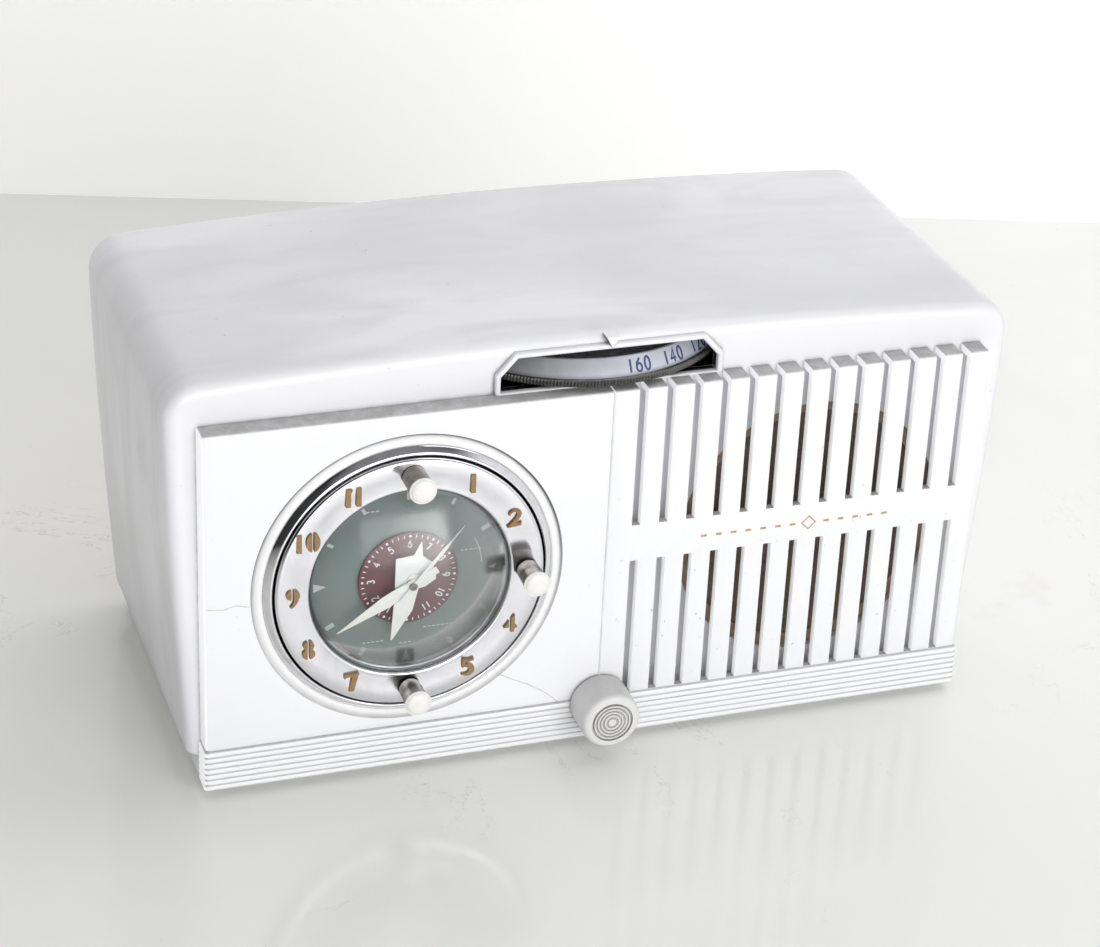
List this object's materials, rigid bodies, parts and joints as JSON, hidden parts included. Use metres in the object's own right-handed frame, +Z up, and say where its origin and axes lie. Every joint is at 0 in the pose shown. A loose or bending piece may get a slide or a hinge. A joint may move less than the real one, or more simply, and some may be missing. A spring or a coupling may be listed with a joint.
{
  "type": "clock radio",
  "caption": "Table clock radio: moulded white cabinet, round electric clock with three small knobs, slotted loudspeaker grille and an edge-driven tuning wheel.",
  "frame": {"origin": "on the underside of the foot rails that the radio rests on, in the middle of its width and halfway between the face of the front panels and the rear edge", "axes": "+X to the right as seen from the front, +Y to the back, +Z up"},
  "size_m": [0.336, 0.1862, 0.1745],
  "materials": {
    "cabinet_plastic": "glossy moulded urea, aged white with faint dust and hairline cracks",
    "knob_plastic": "moulded white plastic, worn",
    "fibreboard": "pressed brown fibreboard",
    "plated_steel": "zinc plated sheet steel",
    "copper_wire": "enamelled copper wire",
    "basket_steel": "dull grey steel",
    "cone_paper": "dark felted paper cone",
    "magnet_iron": "grey magnet",
    "phenolic": "brown phenolic",
    "tube_glass": "thin clear glass",
    "can_aluminium": "drawn aluminium",
    "lamination_iron": "stacked iron laminations",
    "coil_paper": "waxed paper wrapping",
    "lamp_glass": "frosted lamp glass",
    "bezel_chrome": "polished chrome",
    "ring_satin": "satin silvered ring with light pitting",
    "numeral_bronze": "bronze gold enamel",
    "dial_green": "satin sage green",
    "lens_glass": "clear domed lens",
    "clock_brass": "machined brass",
    "rotor_copper": "copper plated can",
    "cord_rubber": "dark brown rubber",
    "dial_silver": "silver-grey dial wheel with a dark knurled rim",
    "hand_cream": "cream enamel",
    "hand_white": "white enamel",
    "alarm_maroon": "maroon enamel",
    "sleeve_steel": "dull plated sleeve"
  },
  "bodies": {
    "cabinet": {"cabinet": "cabinet_plastic", "foot_rails": "cabinet_plastic", "clock_panel": "cabinet_plastic", "grille_panel": "cabinet_plastic", "back_cover": "fibreboard", "back_screws": "plated_steel", "loop_antenna": "copper_wire", "chassis": "plated_steel", "chassis_screws": "plated_steel", "speaker_frame": "basket_steel", "speaker_cone": "cone_paper", "speaker_magnet": "magnet_iron", "frame_screws": "plated_steel", "tube_sockets": "phenolic", "tube_glass": "tube_glass", "tube_plates": "basket_steel", "if_cans": "can_aluminium", "output_core": "lamination_iron", "output_coil": "coil_paper", "filter_can": "can_aluminium", "tuner_frame": "plated_steel", "tuner_stator": "can_aluminium", "dial_lamp": "lamp_glass", "volume_control": "plated_steel", "volume_nut": "plated_steel", "clock_bezel": "bezel_chrome", "numeral_ring": "ring_satin", "hour_numerals": "numeral_bronze", "clock_dial": "dial_green", "clock_lens": "lens_glass", "clock_plate": "plated_steel", "clock_rear_plate": "clock_brass", "motor_core": "lamination_iron", "motor_coil": "coil_paper", "rotor_can": "rotor_copper", "power_cord": "cord_rubber", "cord_grip": "cord_rubber", "plug_body": "cord_rubber", "plug_blades": "clock_brass"},
    "tuning": {"tuning_dial": "dial_silver", "tuning_shaft": "clock_brass", "tuner_rotor": "can_aluminium"},
    "volume": {"volume_knob": "knob_plastic", "volume_shaft": "plated_steel"},
    "minute": {"minute_hand": "hand_cream", "minute_arbor": "clock_brass", "time_set_knob": "phenolic"},
    "hour": {"hour_hand": "hand_cream", "hour_plate": "hand_white", "hour_wheel": "clock_brass"},
    "second": {"second_hand": "hand_white"},
    "motion_work": {"minute_wheel": "clock_brass"},
    "alarm": {"alarm_disc": "alarm_maroon", "alarm_wheel": "clock_brass"},
    "alarm_knob": {"alarm_stem": "sleeve_steel", "alarm_cap": "knob_plastic"},
    "sleep_knob": {"sleep_stem": "sleeve_steel", "sleep_cap": "knob_plastic"},
    "function_knob": {"function_stem": "sleeve_steel", "function_cap": "knob_plastic"}
  },
  "joints": [
    {"name": "tuning_turn", "type": "hinge", "parent": "cabinet", "child": "tuning", "pos_m": [0.002, -0.018, 0.16], "axis": [0, 0, -1], "range_deg": [0, 180]},
    {"name": "volume_turn", "type": "hinge", "parent": "cabinet", "child": "volume", "pos_m": [0.001, -0.08, 0.019], "axis": [0, 1, 0], "range_deg": [0, 300]},
    {"name": "minute_turn", "type": "hinge", "parent": "cabinet", "child": "minute", "pos_m": [-0.0775, -0.08, 0.0847], "axis": [0, 1, 0], "continuous": true},
    {"name": "hour_turn", "type": "hinge", "parent": "cabinet", "child": "hour", "pos_m": [-0.0775, -0.08, 0.0847], "axis": [0, 1, 0], "continuous": true},
    {"name": "second_turn", "type": "hinge", "parent": "cabinet", "child": "second", "pos_m": [-0.0775, -0.08, 0.0847], "axis": [0, 1, 0], "continuous": true},
    {"name": "motion_work_turn", "type": "hinge", "parent": "cabinet", "child": "motion_work", "pos_m": [-0.09659, -0.06, 0.06561], "axis": [0, 1, 0], "continuous": true},
    {"name": "alarm_turn", "type": "hinge", "parent": "cabinet", "child": "alarm", "pos_m": [-0.0775, -0.079, 0.0847], "axis": [0, 1, 0], "continuous": true},
    {"name": "alarm_knob_turn", "type": "hinge", "parent": "cabinet", "child": "alarm_knob", "pos_m": [-0.0775, -0.08, 0.1302], "axis": [0, 1, 0], "continuous": true},
    {"name": "sleep_turn", "type": "hinge", "parent": "cabinet", "child": "sleep_knob", "pos_m": [-0.032, -0.08, 0.0847], "axis": [0, 1, 0], "range_deg": [0, 300]},
    {"name": "function_turn", "type": "hinge", "parent": "cabinet", "child": "function_knob", "pos_m": [-0.0775, -0.08, 0.0392], "axis": [0, 1, 0], "range_deg": [-60, 60]}
  ],
  "couplings": [
    {"joint": "hour_turn", "follows": "minute_turn", "ratio": 0.083333},
    {"joint": "motion_work_turn", "follows": "minute_turn", "ratio": -0.33333},
    {"joint": "second_turn", "follows": "minute_turn", "ratio": 60},
    {"joint": "alarm_knob_turn", "follows": "alarm_turn", "ratio": -3.55}
  ]
}
